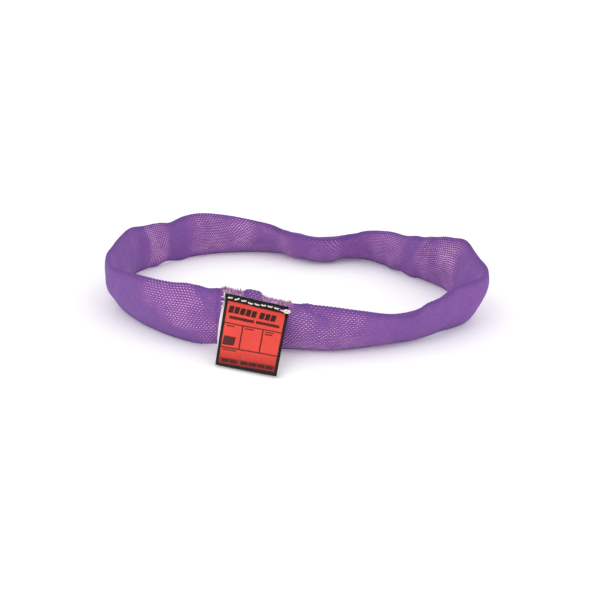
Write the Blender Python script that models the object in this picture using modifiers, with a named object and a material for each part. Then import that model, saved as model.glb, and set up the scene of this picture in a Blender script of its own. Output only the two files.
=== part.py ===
"""An endless round sling, standing as a loose loop on its lower edge.

A woven jacket tube with lapped ends, a second wall inside it, four yarn hanks wound three
times round the loop, the tapes that hold them together, and a sewn-on tag whose leaf swings
from its stitch line. Metres, +Z up, the tag in front at -Y. The origin is on the floor under
the middle of the whole object's box.
"""

import math
from collections import namedtuple

import bmesh
import bpy
from mathutils import Matrix, Vector

UP = Vector((0, 0, 1))
GAP = 0.0003
SHARP_ANGLE = 50

# The band at a place along the loop: its lower edge seen from above, its full width, its
# outward lean in degrees and half its thickness at mid-width. The stations run
# anticlockwise from the left end.
Station = namedtuple("Station", "x y width lean bulge")
STATIONS = [
    Station(-0.1530, -0.0200, 0.046, 13, 0.0068),
    Station(-0.1435, -0.0450, 0.046, 15, 0.0080),
    Station(-0.122, -0.076, 0.047, 8, 0.0090),
    Station(-0.096, -0.102, 0.049, 3, 0.0095),
    Station(-0.072, -0.117, 0.050, 2, 0.0095),
    Station(-0.0535, -0.1225, 0.051, 3, 0.0095),
    Station(-0.0290, -0.1240, 0.0465, 5, 0.0092),
    Station(-0.0045, -0.1255, 0.042, 7, 0.0090),
    Station(0.020, -0.1285, 0.041, 9, 0.0090),
    Station(0.045, -0.1240, 0.040, 21, 0.0085),
    Station(0.072, -0.1135, 0.0355, 29, 0.0080),
    Station(0.098, -0.1030, 0.0370, 26, 0.0078),
    Station(0.1210, -0.0860, 0.047, 20, 0.0076),
    Station(0.1405, -0.0685, 0.050, 22, 0.0070),
    Station(0.1460, -0.0445, 0.051, 11, 0.0068),
    Station(0.1445, -0.0180, 0.052, 7, 0.0068),
    Station(0.1400, 0.0045, 0.052, 2, 0.0075),
    Station(0.1330, 0.0225, 0.049, -4, 0.0085),
    Station(0.120, 0.0420, 0.045, -9, 0.0090),
    Station(0.104, 0.0610, 0.038, -4, 0.0080),
    Station(0.090, 0.0820, 0.037, -9, 0.0085),
    Station(0.071, 0.1030, 0.037, -30, 0.0085),
    Station(0.047, 0.1090, 0.037, -37, 0.0088),
    Station(0.027, 0.0980, 0.036, -34, 0.0092),
    Station(0.010, 0.1070, 0.036, -33, 0.0092),
    Station(-0.010, 0.1240, 0.036, -30, 0.0090),
    Station(-0.037, 0.1280, 0.037, -18, 0.0090),
    Station(-0.068, 0.1240, 0.041, -7, 0.0095),
    Station(-0.097, 0.1140, 0.044, 0, 0.0095),
    Station(-0.122, 0.0960, 0.042, 0, 0.0080),
    Station(-0.1410, 0.0770, 0.043, -5, 0.0085),
    Station(-0.1530, 0.0560, 0.047, -1, 0.0075),
    Station(-0.1550, 0.0310, 0.047, 4, 0.0068),
    Station(-0.1545, 0.0050, 0.046, 9, 0.0068),
]
TURN = len(STATIONS)
TANGENT_STEP = 0.02
# Moves the stations so that the whole object's box is centred on the origin.
LOOP_CENTRE = Vector((-0.0030, -0.0248, 0.0))
# Where the loop bends sharply and at the tag, a ring is added halfway between two stations.
SHARP_BENDS = [(12, 18), (20, 26), (29, 35)]

# At the tag the band's upper edge is pinched into a flat fin.
FIN_HEIGHT = 0.0085
FIN_RISE = (4.74, 5.0)
FIN_FALL = (7.0, 7.7)

# The jacket's lap: its covering end and its tucked end, as places along the loop.
LAP_COVER_END = 4.75
LAP_TUCKED_END = 5.75
# The layers step in over this many stations, and stay stepped in this far past the lap.
LAP_SLOPE = 1.0
LAP_MARGIN = 0.25
INNER_END_GAP = 0.04

# Walls of the jackets, as depths under the outer surface at mid-width. Towards the band's
# edges a wall's half-width shrinks faster than its depth grows.
OUTER_WALL = 0.0009
INNER_WALL_TOP = 0.0014
INNER_WALL_BOTTOM = 0.0021
LAP_STEP = 0.0013
EDGE_SHRINK = 2.2
EDGE_HALF = OUTER_WALL
EDGE_HALF_INSIDE = 0.00015
FOOT_HALF = 0.0012
OUTER_SIDE_POINTS = 7
INNER_SIDE_POINTS = 5

# The core: twelve turns of yarn on a flat oval, four hanks of three turns.
YARN_RADIUS = 0.00125
YARN_PITCH = 0.0032
YARN_OVAL_RADIUS = 0.00165
HANKS = 4
TURNS_PER_HANK = 3
OVAL_STRAIGHT = (HANKS * TURNS_PER_HANK * YARN_PITCH - 2 * math.pi * YARN_OVAL_RADIUS) / 2
TAPE_PLACES = [2, 12, 18, 28]
TAPE_THICKNESS = 0.0004
TAPE_REACH = 0.28
TAPE_ARC_POINTS = 5

# The tag: its sewn header on the fin, and its leaf and backing, which swing.
TAG_LEFT = 5
TAG_RIGHT = 7
HEADER_BELOW_FIN_TOP = 0.003
HEADER_UNDERLAP = 0.0005
HEADER_THICKNESS = 0.0008
LEAF_THICKNESS = 0.0007
LEAF_START = 0.001
LEAF_BOW = 0.0015
CURL_RADIUS = 0.0022
CURL_DEGREES = 110
CURL_LEFT = Vector((-0.0605, -0.1565, CURL_RADIUS + 0.0006))
CURL_RIGHT = Vector((-0.0135, -0.1790, CURL_RADIUS + 0.0006))
BACKING_THICKNESS = 0.0005
BACKING_START = 0.006
BACKING_END_GAP = 0.007
BACKING_GAP = 0.0007
BACKING_SLACK = 0.0014
BACKING_SIDE_SHIFT = 0.0022
BACKING_SHIFT_AT_ENDS = 0.4
LEAF_COLUMNS = 4
LEAF_ROWS = 7
CURL_ROWS = 5

# The tag's lockstitch: a needle thread in front and a bobbin thread behind, dipping into
# the same holes.
STITCHES = 9
STITCH_MARGIN = 0.07
STITCH_LINE_BELOW_HEADER_TOP = 0.0032
STITCH_WANDER = 0.0005
STITCH_WANDER_RATE = 11
THREAD_RADIUS = 0.0003
HOLE_RADIUS = 0.0012
HOLE_SIDES = 8
CUTTER_LENGTH = 0.012
DIP_HALF = 0.00045
# One stitch, from the middle of a hole to just before the next: how far along the stitch
# each point lies, and how far out of its hole, 0 at the bottom of the dip and 1 on top.
STITCH_PROFILE = [
    (0.0, 0.0),
    (0.07, 0.5),
    (0.13, 0.98),
    (0.5, 1.1),
    (0.87, 0.98),
    (0.93, 0.5),
]
# The needle thread's loose end, from the last hole: along the band, up it and out of its face.
TAIL_STEPS = [
    (0.0003, 0.0, 0.0030),
    (0.0016, -0.0004, 0.0042),
    (0.0032, -0.0016, 0.0043),
    (0.0040, -0.0034, 0.0036),
]

COLOURS = {
    "outer_jacket": ((0.235, 0.075, 0.40, 1), 0.75),
    "inner_jacket": ((0.80, 0.74, 0.80, 1), 0.8),
    "core_yarn": ((0.83, 0.82, 0.78, 1), 0.6),
    "core_tape": ((0.75, 0.70, 0.55, 1), 0.4),
    "tag_header": ((0.02, 0.018, 0.018, 1), 0.45),
    "tag_leaf": ((0.80, 0.06, 0.035, 1), 0.45),
    "tag_backing": ((0.85, 0.84, 0.83, 1), 0.5),
    "tag_thread": ((0.88, 0.86, 0.80, 1), 0.6),
}


def clear_scene():
    for obj in list(bpy.data.objects):
        bpy.data.objects.remove(obj)


def new_collection(name, hidden=False):
    collection = bpy.data.collections.new(name)
    collection.hide_render = hidden
    bpy.context.scene.collection.children.link(collection)
    return collection


def material(name):
    """The Principled material of this name, made on first use."""
    if name in bpy.data.materials:
        return bpy.data.materials[name]
    colour, roughness = COLOURS[name]
    made = bpy.data.materials.new(name)
    made.use_nodes = True
    shader = made.node_tree.nodes["Principled BSDF"]
    shader.inputs["Base Color"].default_value = colour
    shader.inputs["Roughness"].default_value = roughness
    shader.inputs["Metallic"].default_value = 0.0
    made.diffuse_color = colour
    return made


def add_object(name, data, collection, look, parent, place=Vector()):
    """A named object at a place, with its material, under its parent."""
    obj = bpy.data.objects.new(name, data)
    collection.objects.link(obj)
    obj.parent = parent
    obj.location = place
    data.materials.append(material(look))
    return obj


# ---------------------------------------------------------------- the band's path


def blend(values, t):
    """A smooth curve through four values, between the second and the third."""
    before, here, after, later = values
    slope_here = (after - before) / 2
    slope_after = (later - here) / 2
    rise = after - here
    return (
        here
        + slope_here * t
        + (3 * rise - 2 * slope_here - slope_after) * t**2
        + (slope_here + slope_after - 2 * rise) * t**3
    )


def station_at(place):
    """The band at a place along the loop, counted in stations."""
    first = math.floor(place)
    around = [STATIONS[(first + step) % TURN] for step in (-1, 0, 1, 2)]
    return Station(*(blend(values, place - first) for values in zip(*around)))


def ramp(value, start, end):
    """From 0 at start to 1 at end, smoothly."""
    share = min(max((value - start) / (end - start), 0), 1)
    return share * share * (3 - 2 * share)


def fin_height(place):
    """How far the pinched fin stands above the tube at a place."""
    place = place % TURN
    return FIN_HEIGHT * ramp(place, *FIN_RISE) * (1 - ramp(place, *FIN_FALL))


class Band:
    """The band's own directions at a place: along it, up across its width, and out of its face."""

    def __init__(self, place):
        here = station_at(place)
        ahead = station_at(place + TANGENT_STEP)
        behind = station_at(place - TANGENT_STEP)
        self.along = Vector((ahead.x - behind.x, ahead.y - behind.y, 0)).normalized()
        out = self.along.cross(UP)
        lean = math.radians(here.lean)
        self.up = UP * math.cos(lean) + out * math.sin(lean)
        self.face = out * math.cos(lean) - UP * math.sin(lean)
        self.fin = fin_height(place)
        self.half_width = (here.width - self.fin) / 2
        self.bulge = here.bulge
        self.foot = Vector((here.x, here.y, 0)) - LOOP_CENTRE
        self.middle = self.foot + self.up * self.half_width

    def point(self, across, out):
        """A point this far up across the width and this far out of the face, from mid-width."""
        return self.middle + self.up * across + self.face * out

    def fin_face(self, across):
        """How far out the fin's face lies, at this height across the width."""
        angle = math.pi / (OUTER_SIDE_POINTS + 1)
        low = self.half_width * math.cos(angle)
        low_out = EDGE_HALF + (self.bulge - EDGE_HALF) * math.sin(angle) ** 2
        high = self.half_width + self.fin
        share = (across - low) / (high - low)
        return low_out + (EDGE_HALF - low_out) * share


def needs_half_ring(place):
    """Whether a ring is added here, halfway between two stations."""
    spans = [*SHARP_BENDS, (TAG_LEFT, TAG_RIGHT)]
    return any(low < place < high for low, high in spans)


def ring_places():
    """Where every layer has a ring, once round."""
    halves = [place + 0.5 for place in range(TURN) if needs_half_ring(place + 0.5)]
    return sorted([*range(TURN), *halves, LAP_COVER_END, LAP_TUCKED_END])


RING_PLACES = ring_places()


def places_between(start, end):
    """Start, every ring place between, and end, over one turn or more."""
    turns = range(math.floor(start / TURN), math.floor(end / TURN) + 1)
    all_rings = [place + turn * TURN for turn in turns for place in RING_PLACES]
    inside = [place for place in all_rings if start < place < end]
    return [start, *inside, end]


def tucked_depth(place):
    """How much deeper the jacket's tucked end runs than the rest of it."""
    slope_end = TURN + LAP_COVER_END - LAP_MARGIN
    return LAP_STEP * ramp(place, slope_end - LAP_SLOPE, slope_end)


def lap_room(place):
    """How much deeper the layers under the lap run."""
    place = place % TURN
    rise_end = LAP_COVER_END - LAP_MARGIN
    fall_start = LAP_TUCKED_END + LAP_MARGIN
    risen = ramp(place, rise_end - LAP_SLOPE, rise_end)
    fallen = ramp(place, fall_start, fall_start + LAP_SLOPE)
    return LAP_STEP * risen * (1 - fallen)


# ---------------------------------------------------------------- sections and lofts


def lens_section(place, depth, side_points):
    """The points round one wall surface of the flattened tube, at a depth under the outer surface."""
    band = Band(place)
    half = band.half_width - EDGE_SHRINK * depth
    bulge = band.bulge - depth
    outside = depth == 0
    tip = EDGE_HALF if outside else EDGE_HALF_INSIDE
    foot = FOOT_HALF if outside else EDGE_HALF_INSIDE
    top = half + (band.fin if outside else 0)
    side = []
    for step in range(1, side_points + 1):
        angle = math.pi * step / (side_points + 1)
        side.append((half * math.cos(angle), tip + (bulge - tip) * math.sin(angle) ** 2))
    front = [(top, tip), *side, (-half, foot)]
    back = [(across, -out) for across, out in reversed(front)]
    points = [band.point(across, out) for across, out in front + back]
    if outside:
        for index in (len(front) - 1, len(front)):
            points[index].z = 0.0
        for point in points:
            point.z = max(point.z, 0.0)
    return points


def loft(bm, rings, closed=False):
    """Joins each ring of points to the next with quads and returns the rings' vertices."""
    made = [[bm.verts.new(point) for point in ring] for ring in rings]
    pairs = list(zip(made, made[1:] + made[:1] if closed else made[1:]))
    for ring, following in pairs:
        for index in range(len(ring)):
            after = (index + 1) % len(ring)
            bm.faces.new((ring[index], ring[after], following[after], following[index]))
    return made


def bridge(bm, ring, other):
    """Joins the rims of two surfaces, corner by corner."""
    for index in range(len(ring)):
        after = (index + 1) % len(ring)
        bm.faces.new((ring[index], ring[after], other[after], other[index]))


def finish_mesh(bm, name, smooth=True):
    bmesh.ops.recalc_face_normals(bm, faces=bm.faces)
    mesh = bpy.data.meshes.new(name)
    bm.to_mesh(mesh)
    bm.free()
    if smooth:
        mesh.shade_smooth()
        mesh.set_sharp_from_angle(angle=math.radians(SHARP_ANGLE))
    return mesh


def tube_wall(name, outer_rings, inner_rings):
    """A tube open at both ends, as one solid between an outer and an inner surface."""
    bm = bmesh.new()
    outer = loft(bm, outer_rings)
    inner = loft(bm, inner_rings)
    bridge(bm, outer[0], inner[0])
    bridge(bm, outer[-1], inner[-1])
    return finish_mesh(bm, name)


# ---------------------------------------------------------------- the jackets


def outer_jacket_mesh():
    """The woven tube, from its covering end once round to its tucked end under the lap."""
    places = places_between(LAP_COVER_END, TURN + LAP_TUCKED_END)
    cover_end = TURN + LAP_COVER_END - LAP_SLOPE / 2
    outer = []
    inner = []
    for place in places:
        depth = tucked_depth(place)
        outside_depth = depth if place > cover_end else 0
        outer.append(lens_section(place, outside_depth, OUTER_SIDE_POINTS))
        inner.append(lens_section(place, depth + OUTER_WALL, OUTER_SIDE_POINTS))
    return tube_wall("outer_jacket", outer, inner)


def inner_jacket_mesh():
    """The second wall, whose ends meet under the tag."""
    walls = []
    for depth in (INNER_WALL_TOP, INNER_WALL_BOTTOM):
        rings = []
        for place in places_between(TAG_RIGHT, TAG_RIGHT + TURN - INNER_END_GAP):
            rings.append(lens_section(place, depth + lap_room(place), INNER_SIDE_POINTS))
        walls.append(rings)
    return tube_wall("inner_jacket", *walls)


# ---------------------------------------------------------------- the core


def oval_point(distance):
    """The point this far round the flat oval on which the yarns lie, as (across, out)."""
    arc = math.pi * YARN_OVAL_RADIUS
    side = OVAL_STRAIGHT + arc
    turn_sign = 1 if distance % (2 * side) < side else -1
    distance = distance % side
    if distance < OVAL_STRAIGHT:
        across = OVAL_STRAIGHT / 2 - distance
        out = YARN_OVAL_RADIUS
    else:
        angle = (distance - OVAL_STRAIGHT) / YARN_OVAL_RADIUS
        across = -OVAL_STRAIGHT / 2 - YARN_OVAL_RADIUS * math.sin(angle)
        out = YARN_OVAL_RADIUS * math.cos(angle)
    return turn_sign * across, turn_sign * out


def yarn_curve(number):
    """One endless hank. Each turn moves it one hank count further round the oval, so it closes."""
    curve = bpy.data.curves.new(f"core_yarn_{number + 1}", "CURVE")
    curve.dimensions = "3D"
    curve.bevel_depth = YARN_RADIUS
    curve.bevel_resolution = 1
    points = []
    for turn in range(TURNS_PER_HANK):
        for place in RING_PLACES:
            shift = number + HANKS * (turn + place / TURN)
            points.append(Band(place).point(*oval_point(shift * YARN_PITCH)))
    spline = curve.splines.new("POLY")
    spline.points.add(len(points) - 1)
    for made, point in zip(spline.points, points):
        made.co = (*point, 1)
    spline.use_cyclic_u = True
    spline.use_smooth = True
    return curve


def oval_section(place, radius):
    """A flat oval round the whole core, this far out from its two end centres."""
    band = Band(place)
    ends = []
    for side in (1, -1):
        for step in range(TAPE_ARC_POINTS + 1):
            angle = math.pi * (step / TAPE_ARC_POINTS - 0.5)
            across = side * (OVAL_STRAIGHT / 2 + radius * math.cos(angle))
            ends.append(band.point(across, side * radius * math.sin(angle)))
    return ends


def between(ring, other, share):
    return [a.lerp(b, share) for a, b in zip(ring, other)]


def core_tape_mesh(name, place):
    """One tape wound round all twelve turns, lying on the straight runs beside a ring."""
    index = RING_PLACES.index(place)
    before = RING_PLACES[index - 1]
    after = RING_PLACES[index + 1]
    inside = YARN_OVAL_RADIUS + YARN_RADIUS + GAP
    walls = []
    for radius in (inside + TAPE_THICKNESS, inside):
        low, here, high = (oval_section(each, radius) for each in (before, place, after))
        walls.append([between(here, low, TAPE_REACH), here, between(here, high, TAPE_REACH)])
    return tube_wall(name, *walls)


# ---------------------------------------------------------------- the tag


def fin_front(place, below_top, out):
    """A point in front of the fin, this far below the header's top and out of the fin's face."""
    band = Band(place)
    across = band.half_width + band.fin - HEADER_BELOW_FIN_TOP - below_top
    return band.point(across, band.fin_face(across) + out)


def header_height(place):
    band = Band(place)
    return band.fin - HEADER_BELOW_FIN_TOP + HEADER_UNDERLAP


def header_mesh():
    """The sewn strip of the tag, following the fin, as its middle surface."""
    bm = bmesh.new()
    out = GAP + HEADER_THICKNESS / 2
    columns = []
    for place in places_between(TAG_LEFT, TAG_RIGHT):
        height = header_height(place)
        columns.append([fin_front(place, height * share, out) for share in (0, 0.5, 1)])
    grid(bm, columns)
    return finish_mesh(bm, "tag_header", smooth=False)


def grid(bm, columns):
    """An open surface through columns of points."""
    made = [[bm.verts.new(point) for point in column] for column in columns]
    for column, following in zip(made, made[1:]):
        for row in range(len(column) - 1):
            bm.faces.new((column[row], column[row + 1], following[row + 1], following[row]))


def thicken(obj, thickness):
    shell = obj.modifiers.new("thickness", "SOLIDIFY")
    shell.thickness = thickness
    shell.offset = 0
    shell.use_even_offset = True


def hinge_end(place):
    """A point of the tag's bend line: just under the header, level with its front face."""
    return fin_front(place, header_height(place) + GAP, GAP + HEADER_THICKNESS)


HINGE_LEFT = hinge_end(TAG_LEFT)
HINGE_RIGHT = hinge_end(TAG_RIGHT)
HINGE_MIDDLE = (HINGE_LEFT + HINGE_RIGHT) / 2
HINGE_AXIS = (HINGE_LEFT - HINGE_RIGHT).normalized()


class LeafLine:
    """The tag's leaf at a share of its width: from the bend line straight down to its bottom curl."""

    def __init__(self, share):
        self.hinge = HINGE_LEFT.lerp(HINGE_RIGHT, share)
        self.centre = CURL_LEFT.lerp(CURL_RIGHT, share) - LOOP_CENTRE
        reach = self.centre - self.hinge
        tilt = math.asin(CURL_RADIUS / reach.length)
        self.down = (Matrix.Rotation(tilt, 3, HINGE_AXIS) @ reach).normalized()
        self.length = math.sqrt(reach.length**2 - CURL_RADIUS**2)
        self.out = HINGE_AXIS.cross(self.down).normalized()

    def straight(self, distance, behind=0.0):
        """A point this far down the leaf, bowed out a little in the middle."""
        share = distance / self.length
        bow = LEAF_BOW * 4 * share * (1 - share)
        return self.hinge + self.down * distance + self.out * (bow - behind)

    def curl(self, degrees):
        angle = math.radians(degrees)
        return self.centre + (self.out * math.cos(angle) + self.down * math.sin(angle)) * CURL_RADIUS


def leaf_mesh():
    bm = bmesh.new()
    columns = []
    for step in range(LEAF_COLUMNS + 1):
        line = LeafLine(step / LEAF_COLUMNS)
        run = line.length - LEAF_START
        column = [line.straight(LEAF_START + run * row / LEAF_ROWS) for row in range(LEAF_ROWS)]
        column += [line.curl(CURL_DEGREES * row / CURL_ROWS) for row in range(CURL_ROWS + 1)]
        columns.append([point - HINGE_MIDDLE for point in column])
    grid(bm, columns)
    return finish_mesh(bm, "tag_leaf")


def backing_mesh():
    """The sheet behind the leaf: close to it at both ends, slack and slipped sideways between."""
    bm = bmesh.new()
    columns = []
    for step in range(LEAF_COLUMNS + 1):
        line = LeafLine(step / LEAF_COLUMNS)
        run = line.length - BACKING_END_GAP - BACKING_START
        close = BACKING_GAP + (LEAF_THICKNESS + BACKING_THICKNESS) / 2
        column = []
        for row in range(LEAF_ROWS + 1):
            share = row / LEAF_ROWS
            slack = math.sin(math.pi * share)
            slip = BACKING_SHIFT_AT_ENDS + (1 - BACKING_SHIFT_AT_ENDS) * slack
            point = line.straight(BACKING_START + run * share, close + BACKING_SLACK * slack)
            column.append(point + HINGE_AXIS * BACKING_SIDE_SHIFT * slip - HINGE_MIDDLE)
        columns.append(column)
    grid(bm, columns)
    return finish_mesh(bm, "tag_backing")


# ---------------------------------------------------------------- the tag's stitches


def stitch_place(share):
    start = TAG_LEFT + STITCH_MARGIN
    end = TAG_RIGHT - STITCH_MARGIN
    return start + (end - start) * share


def stitch_height(band):
    """How far up the band the stitch line runs, from mid-width."""
    return band.half_width + band.fin - HEADER_BELOW_FIN_TOP - STITCH_LINE_BELOW_HEADER_TOP


def stitch_point(share, out):
    """A point on the stitch line, at a share of its length, this far out of the band's mid-plane."""
    band = Band(stitch_place(share))
    wander = STITCH_WANDER * math.sin(share * STITCH_WANDER_RATE)
    return band.point(stitch_height(band) + wander, out)


def face_out(share, on_front):
    """How far out of the mid-plane a thread lies on the header in front, or on the fin behind."""
    band = Band(stitch_place(share))
    cover = GAP + HEADER_THICKNESS if on_front else 0.0
    return band.fin_face(stitch_height(band)) + cover + GAP + THREAD_RADIUS


def thread_points(on_front):
    points = []
    sign = 1 if on_front else -1
    for stitch in range(STITCHES + 1):
        profile = STITCH_PROFILE if stitch < STITCHES else STITCH_PROFILE[:1]
        for along, level in profile:
            share = (stitch + along) / STITCHES
            top = face_out(share, on_front)
            points.append(stitch_point(share, sign * (DIP_HALF + (top - DIP_HALF) * level)))
    return points


def thread_tail(points):
    """The needle thread's loose end: out of the last hole and down in a short curl."""
    band = Band(stitch_place(1.0))
    start = points[-1] - band.face * DIP_HALF
    tail = []
    for along, up, out in TAIL_STEPS:
        tail.append(start + band.along * along + band.up * up + band.face * out)
    return tail


def thread_curve(name, points):
    curve = bpy.data.curves.new(name, "CURVE")
    curve.dimensions = "3D"
    curve.bevel_depth = THREAD_RADIUS
    curve.bevel_resolution = 1
    curve.use_fill_caps = True
    spline = curve.splines.new("POLY")
    spline.points.add(len(points) - 1)
    for made, point in zip(spline.points, points):
        made.co = (*point, 1)
    spline.use_smooth = True
    return curve


def stitch_hole_cutter(collection):
    """One pin through the header and the fin for each hole of the stitch line."""
    bm = bmesh.new()
    for hole in range(STITCHES + 1):
        share = hole / STITCHES
        band = Band(stitch_place(share))
        turn = UP.rotation_difference(band.face).to_matrix().to_4x4()
        place = Matrix.Translation(stitch_point(share, 0.0)) @ turn
        bmesh.ops.create_cone(
            bm,
            cap_ends=True,
            segments=HOLE_SIDES,
            radius1=HOLE_RADIUS,
            radius2=HOLE_RADIUS,
            depth=CUTTER_LENGTH,
            matrix=place,
        )
    mesh = finish_mesh(bm, "stitch_hole_cutter", smooth=False)
    cutter = bpy.data.objects.new("stitch_hole_cutter", mesh)
    collection.objects.link(cutter)
    cutter.hide_render = True
    cutter.display_type = "WIRE"
    return cutter


def pierce(obj, cutter):
    hole = obj.modifiers.new("stitch holes", "BOOLEAN")
    hole.operation = "DIFFERENCE"
    hole.object = cutter


# ---------------------------------------------------------------- the whole sling


def build():
    clear_scene()
    parts = new_collection("round_sling")
    cutters = new_collection("cutters", hidden=True)
    sling = bpy.data.objects.new("sling", None)
    tag = bpy.data.objects.new("tag_hinge", None)
    parts.objects.link(sling)
    parts.objects.link(tag)
    tag.parent = sling
    tag.location = HINGE_MIDDLE

    jacket = add_object("outer_jacket", outer_jacket_mesh(), parts, "outer_jacket", sling)
    add_object("inner_jacket", inner_jacket_mesh(), parts, "inner_jacket", sling)
    for number in range(HANKS):
        name = f"core_yarn_{number + 1}"
        add_object(name, yarn_curve(number), parts, "core_yarn", sling)
    for number, place in enumerate(TAPE_PLACES, 1):
        name = f"core_tape_{number}"
        add_object(name, core_tape_mesh(name, place), parts, "core_tape", sling)

    header = add_object("tag_header", header_mesh(), parts, "tag_header", sling)
    thicken(header, HEADER_THICKNESS)
    leaf = add_object("tag_leaf", leaf_mesh(), parts, "tag_leaf", tag)
    thicken(leaf, LEAF_THICKNESS)
    backing = add_object("tag_backing", backing_mesh(), parts, "tag_backing", tag)
    thicken(backing, BACKING_THICKNESS)

    needle = thread_points(on_front=True)
    needle += thread_tail(needle)
    bobbin = thread_points(on_front=False)
    for name, points in (("tag_needle_thread", needle), ("tag_bobbin_thread", bobbin)):
        add_object(name, thread_curve(name, points), parts, "tag_thread", sling)
    cutter = stitch_hole_cutter(cutters)
    pierce(header, cutter)
    pierce(jacket, cutter)


build()
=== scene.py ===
"""The looks of the round sling: woven jacket, frayed fin, sewn tag and stitching.

Everything is in metres in the row frame. The jacket follows the same band along the loop as
the CAD part: a place is counted in stations, anticlockwise from the left end.
"""

import math

import bpy
import numpy as np
from mathutils import Matrix, Vector


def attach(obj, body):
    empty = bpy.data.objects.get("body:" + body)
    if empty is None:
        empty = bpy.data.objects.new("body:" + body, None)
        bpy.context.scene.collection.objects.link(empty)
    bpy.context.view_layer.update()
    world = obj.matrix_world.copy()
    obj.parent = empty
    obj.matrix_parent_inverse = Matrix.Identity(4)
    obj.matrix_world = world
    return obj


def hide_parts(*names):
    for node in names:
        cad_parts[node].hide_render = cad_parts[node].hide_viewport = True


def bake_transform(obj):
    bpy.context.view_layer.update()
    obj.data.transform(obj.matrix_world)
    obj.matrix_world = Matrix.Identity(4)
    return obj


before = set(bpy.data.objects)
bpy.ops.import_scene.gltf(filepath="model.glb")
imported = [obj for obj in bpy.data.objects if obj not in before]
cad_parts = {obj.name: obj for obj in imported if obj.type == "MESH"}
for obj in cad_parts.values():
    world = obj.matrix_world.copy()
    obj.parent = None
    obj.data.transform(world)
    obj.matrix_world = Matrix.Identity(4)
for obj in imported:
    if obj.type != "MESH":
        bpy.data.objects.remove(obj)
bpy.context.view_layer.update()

UP = np.array((0.0, 0.0, 1.0))

# The band along the loop: x and y of its lower edge, width, outward lean in degrees, and half
# its thickness at mid-width.
STATIONS = np.array(
    [
        (-0.1530, -0.0200, 0.046, 13, 0.0068),
        (-0.1435, -0.0450, 0.046, 15, 0.0080),
        (-0.122, -0.076, 0.047, 8, 0.0090),
        (-0.096, -0.102, 0.049, 3, 0.0095),
        (-0.072, -0.117, 0.050, 2, 0.0095),
        (-0.0535, -0.1225, 0.051, 3, 0.0095),
        (-0.0290, -0.1240, 0.0465, 5, 0.0092),
        (-0.0045, -0.1255, 0.042, 7, 0.0090),
        (0.020, -0.1285, 0.041, 9, 0.0090),
        (0.045, -0.1240, 0.040, 21, 0.0085),
        (0.072, -0.1135, 0.0355, 29, 0.0080),
        (0.098, -0.1030, 0.0370, 26, 0.0078),
        (0.1210, -0.0860, 0.047, 20, 0.0076),
        (0.1405, -0.0685, 0.050, 22, 0.0070),
        (0.1460, -0.0445, 0.051, 11, 0.0068),
        (0.1445, -0.0180, 0.052, 7, 0.0068),
        (0.1400, 0.0045, 0.052, 2, 0.0075),
        (0.1330, 0.0225, 0.049, -4, 0.0085),
        (0.120, 0.0420, 0.045, -9, 0.0090),
        (0.104, 0.0610, 0.038, -4, 0.0080),
        (0.090, 0.0820, 0.037, -9, 0.0085),
        (0.071, 0.1030, 0.037, -30, 0.0085),
        (0.047, 0.1090, 0.037, -37, 0.0088),
        (0.027, 0.0980, 0.036, -34, 0.0092),
        (0.010, 0.1070, 0.036, -33, 0.0092),
        (-0.010, 0.1240, 0.036, -30, 0.0090),
        (-0.037, 0.1280, 0.037, -18, 0.0090),
        (-0.068, 0.1240, 0.041, -7, 0.0095),
        (-0.097, 0.1140, 0.044, 0, 0.0095),
        (-0.122, 0.0960, 0.042, 0, 0.0080),
        (-0.1410, 0.0770, 0.043, -5, 0.0085),
        (-0.1530, 0.0560, 0.047, -1, 0.0075),
        (-0.1550, 0.0310, 0.047, 4, 0.0068),
        (-0.1545, 0.0050, 0.046, 9, 0.0068),
    ]
)
TURN = len(STATIONS)

# The row frame's origin in the stations' own coordinates, and about how far apart stations are.
LOOP_CENTRE = np.array((-0.0030, -0.0248, 0.0))
STATION_LENGTH = 0.0285

# The pinched fin under the tag, and the lap of the jacket's ends, as places along the loop.
FIN_HEIGHT = 0.0085
FIN_RISE = (4.74, 5.0)
FIN_FALL = (7.0, 7.7)
COVER_END = 4.75
TUCKED_END = TURN + 5.75
STILL_END = 0.6
TUCK_SLOPE = (TURN + 3.6, TURN + 4.6)
TUCK_UNDER = (TURN + 4.68, TURN + 4.95)
TUCK_DEPTH = 0.0013

# The tube's section: how much an edge draws in for each part of depth, half the thickness at
# the edges, the angle where the fin's straight face leaves the lens, extra thickness at the
# foot, the least half thickness, the wall, and how far the skins stay above the floor.
EDGE_SHRINK = 2.2
EDGE_HALF = 0.0009
CHORD_START = math.pi / 8
FOOT_EXTRA = 0.0003
LEAST_OUT = 0.0002
WALL = 0.0008
FLOOR_CLEARANCE = 0.00005
INNER_FLOOR_CLEARANCE = 0.0007

# The fold that stands up behind the tag: places where it rises and falls, its height above the
# fin, and how far it bulges from the inner face.
FOLD_RISE = (5.42, 5.76)
FOLD_FALL = (6.04, 6.24)
FOLD_HEIGHT = 0.0022
FOLD_BULGE = 0.0026

# The weave: two rings to each yarn along the band, two points to each yarn across it. The
# points round the band are a multiple of four, so that the staggered rows meet.
RINGS = 636
POINTS_ROUND = 112
INNER_RINGS = 106
RELIEF_PLAIN = 0.00005
RELIEF_STRETCHED = 0.00016
YARN_TOP = 1.0
YARN_LOW = -0.7
BETWEEN_YARNS = -0.15
STRETCH_SWELL = 0.0006
SCALLOP_HEIGHT = 0.00042

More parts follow.
